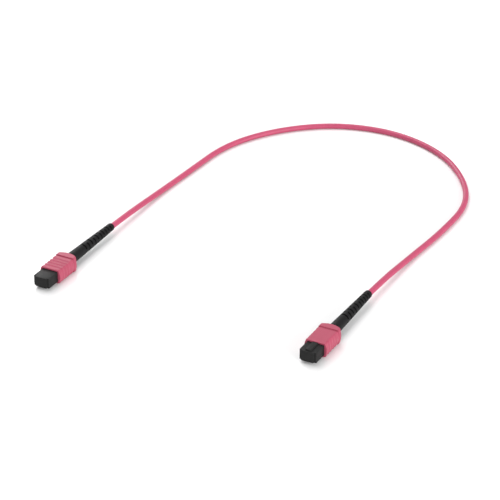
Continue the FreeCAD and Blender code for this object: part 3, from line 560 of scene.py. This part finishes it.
def boot_mesh(name):
    n = 144
    us = {BOOT_U0 + 0.06, BOOT_U0 + 0.2, BOOT_U1}
    u = BOOT_U0 + 0.6
    while u < BOOT_U1 - 1.0:
        us.add(round(u, 3))
        u += 0.55
    for k in range(1, 10):
        us.add(round(BOOT_U1 - 0.9 * (1 - math.sin(k / 9.0 * math.pi / 2)), 4))
    for s in SLOTS:
        us = {x for x in us if not s - 0.14 < x < s + SLOT_LEN + 0.14 or x > BOOT_U1 - 0.95}
        for o in (-0.12, 0.0, 0.03, 0.07, 0.10, SLOT_LEN / 2, SLOT_LEN - 0.10, SLOT_LEN - 0.07, SLOT_LEN - 0.03, SLOT_LEN, SLOT_LEN + 0.12):
            us.add(round(s + o, 4))
    us = sorted(us)
    turn = [2 * math.pi * i / n for i in range(n)]

    def ring(r, u):
        return [(r * math.cos(a), u, r * math.sin(a)) for a in turn]

    rings = [ring(BOOT_R0 - 0.06, BOOT_U0)]
    for u in us:
        rings.append(
            [
                ((boot_radius(u) - slot_cut(u, a)) * math.cos(a), u, (boot_radius(u) - slot_cut(u, a)) * math.sin(a))
                for a in turn
            ]
        )
    for r, u in ((1.94, BOOT_U1), (1.90, BOOT_U1 - 0.05), (1.90, 43.0), (2.22, 42.0), (2.22, 35.8), (2.62, 33.2), (2.62, BOOT_U0)):
        rings.append(ring(r, u))
    return ring_mesh(name, rings, True)


# ---- dust cap -------------------------------------------------------------------
def prism(name, outline, z0, z1):
    """A plan outline (x, u) raised from z0 to z1."""
    bm = bmesh.new()
    lo = [bm.verts.new((x, u, z0)) for x, u in outline]
    hi = [bm.verts.new((x, u, z1)) for x, u in outline]
    n = len(outline)
    bm.faces.new(lo)
    bm.faces.new(hi)
    for i in range(n):
        j = (i + 1) % n
        bm.faces.new((lo[i], lo[j], hi[j], hi[i]))
    bmesh.ops.recalc_face_normals(bm, faces=bm.faces)
    mesh = bpy.data.meshes.new(name)
    bm.to_mesh(mesh)
    bm.free()
    o = bpy.data.objects.new(name, mesh)
    scene.collection.objects.link(o)
    return o


def block(name, x, u0, u1, z0, z1):
    return prism(name, [(-x, u0), (x, u0), (x, u1), (-x, u1)], z0, z1)


def evaluated(o):
    """The object's mesh with its modifiers in it; the object itself is removed."""
    bpy.context.view_layer.update()
    dg = bpy.context.evaluated_depsgraph_get()
    mesh = bpy.data.meshes.new_from_object(o.evaluated_get(dg))
    bpy.data.objects.remove(o)
    return mesh


def cap_mesh(name):
    w, f, rw, rl = 5.20, 9.20, 1.40, 0.90
    plan = [
        (-w, 1.50),
        (-w, -(f - rl)),
        (-(w - rw), -(f - rl)),
        (-(w - rw), -f),
        (w - rw, -f),
        (w - rw, -(f - rl)),
        (w, -(f - rl)),
        (w, 1.50),
    ]
    body = prism(name + "_body", plan, -3.25, 3.25)
    hump = block(name + "_hump", 1.75, -8.10, 0.85, 2.40, 4.15)
    tools = [
        (block(name + "_rim", 4.65, 1.20, 2.0, -3.00, 3.00), "UNION"),
        (block(name + "_bore", 4.22, -5.30, 2.5, -2.72, 2.72), "DIFFERENCE"),
        (block(name + "_way", 1.20, -4.60, 2.5, 2.0, 3.27), "DIFFERENCE"),
    ]

    def combine(tool, kind):
        m = body.modifiers.new("cut", "BOOLEAN")
        m.operation = kind
        m.solver = "EXACT"
        m.object = tool

    combine(hump, "UNION")
    bevel = body.modifiers.new("edges", "BEVEL")
    bevel.width = 0.24
    bevel.segments = 3
    bevel.limit_method = "ANGLE"
    bevel.angle_limit = math.radians(40)
    for tool, kind in tools:
        combine(tool, kind)
    mesh = evaluated(body)
    for tool in [hump] + [tool for tool, _ in tools]:
        bpy.data.objects.remove(tool)
    return mesh


# ---- springs --------------------------------------------------------------------
def coil_mesh(name, places, radius, wire, u0, u1, turns):
    """Round-wire coils along the plug axis, one at each place across."""
    bm = bmesh.new()
    steps, n = int(turns * 28), 10
    for x0 in places:
        rows = []
        for k in range(steps + 1):
            a = 2 * math.pi * turns * k / steps
            u = u0 + wire + (u1 - u0 - 2 * wire) * k / steps
            ring = []
            for i in range(n):
                b = 2 * math.pi * i / n
                r = radius + wire * math.cos(b)
                ring.append(bm.verts.new((x0 + r * math.cos(a), u + wire * math.sin(b), r * math.sin(a))))
            rows.append(ring)
        for p, q_ in zip(rows, rows[1:]):
            for i in range(n):
                j = (i + 1) % n
                bm.faces.new((p[i], p[j], q_[j], q_[i]))
        bm.faces.new(rows[0])
        bm.faces.new(rows[-1])
    bmesh.ops.recalc_face_normals(bm, faces=bm.faces)
    mesh = bpy.data.meshes.new(name)
    bm.to_mesh(mesh)
    bm.free()
    return mesh


# ---- pieces ---------------------------------------------------------------------
for tag in ("a", "b"):
    finish_mesh(
        "coupling_shell_" + tag, coupling_mesh("coupling_shell_" + tag), tag, coupling,
        "coupling_" + tag, "coupling_" + tag, 42,
    )
    finish_mesh(
        "boot_sleeve_" + tag, boot_mesh("boot_sleeve_" + tag), tag, boot,
        "cable_set", "boot_" + tag, 40,
    )
    finish_mesh(
        "cap_shell_" + tag, cap_mesh("cap_shell_" + tag), tag, cap,
        "dust_cap_" + tag, "dust_cap_" + tag, 35,
    )
    coils = finish_mesh(
        "return_coils_" + tag,
        coil_mesh("return_coils_" + tag, (4.86, -4.86), 0.54, 0.10, 6.92, 13.96, 11),
        tag, steel, "cable_set", "coupling_springs_" + tag, 50,
    )
    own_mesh(coils)
    coils = finish_mesh(
        "ferrule_coil_" + tag,
        coil_mesh("ferrule_coil_" + tag, (0.0,), 2.16, 0.225, 4.26, 14.54, 9),
        tag, steel, "cable_set", "ferrule_spring_" + tag, 50,
    )
    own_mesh(coils)

line.materials.append(jacket.mat)
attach(cable, "cable_set")
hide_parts("cable_jacket")

# finishes of the pieces inside the plugs
INNER = {
    "plug_frame": shell,
    "spring_push": shell,
    "ferrule": resin,
    "ferrule_boot": sleeve,
    "fibre_array": fibre,
    "pin_keeper": keeper,
    "ferrule_spring": steel,
    "coupling_springs": steel,
    "crimp_ring": crimp,
    "coupling": coupling,
    "dust_cap": cap,
    "boot": boot,
}


def restyle(node, material):
    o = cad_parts[node]
    if not o.material_slots:
        o.data.materials.append(material.mat)
    for s in o.material_slots:
        s.material = material.mat


for part, material in INNER.items():
    for tag in ("a", "b"):
        restyle(part + "_" + tag, material)
restyle("cable_jacket", jacket)
restyle("aramid_yarn", yarn)
restyle("fibre_bundle", fibre)

# ---- floor and light ------------------------------------------------------------
bm = bmesh.new()
bmesh.ops.create_grid(bm, x_segments=1, y_segments=1, size=6.0)
floor_mesh = bpy.data.meshes.new("floor")
bm.to_mesh(floor_mesh)
bm.free()
floor = bpy.data.objects.new("floor", floor_mesh)
floor.location = (0, 0, -0.00002)
scene.collection.objects.link(floor)
white = Mat("floor_white")
white.set(Base_Color=(0.90, 0.90, 0.90, 1.0), Roughness=0.13, Specular_IOR_Level=0.40)
floor_mesh.materials.append(white.mat)

world = bpy.data.worlds.new("studio")
world.use_nodes = True
scene.world = world
world.node_tree.nodes["Background"].inputs["Color"].default_value = (1.0, 1.0, 1.0, 1.0)
world.node_tree.nodes["Background"].inputs["Strength"].default_value = 0.50


def softbox(name, at, aim, width, height, watts):
    data = bpy.data.lights.new(name, "AREA")
    data.shape = "RECTANGLE"
    data.size, data.size_y = width, height
    data.energy = watts
    o = bpy.data.objects.new(name, data)
    scene.collection.objects.link(o)
    o.location = at
    o.rotation_mode = "QUATERNION"
    o.rotation_quaternion = (Vector(aim) - Vector(at)).to_track_quat("-Z", "Y")
    return o


softbox("overhead", (-0.70, 0.50, 1.45), (0.0, 0.06, 0.0), 1.5, 1.5, 20.5)
softbox("right", (2.6, -0.35, 0.80), (0.0, 0.05, 0.0), 2.4, 1.2, 78.0)
softbox("front", (0.1, -1.6, 0.45), (0.0, 0.05, 0.0), 1.4, 0.7, 8.0)
softbox("back_left", (-1.10, 0.95, 0.74), (-0.087, -0.02, 0.008), 0.6, 0.6, 8.0)

# ---- final update ---------------------------------------------------------------
bpy.context.view_layer.update()
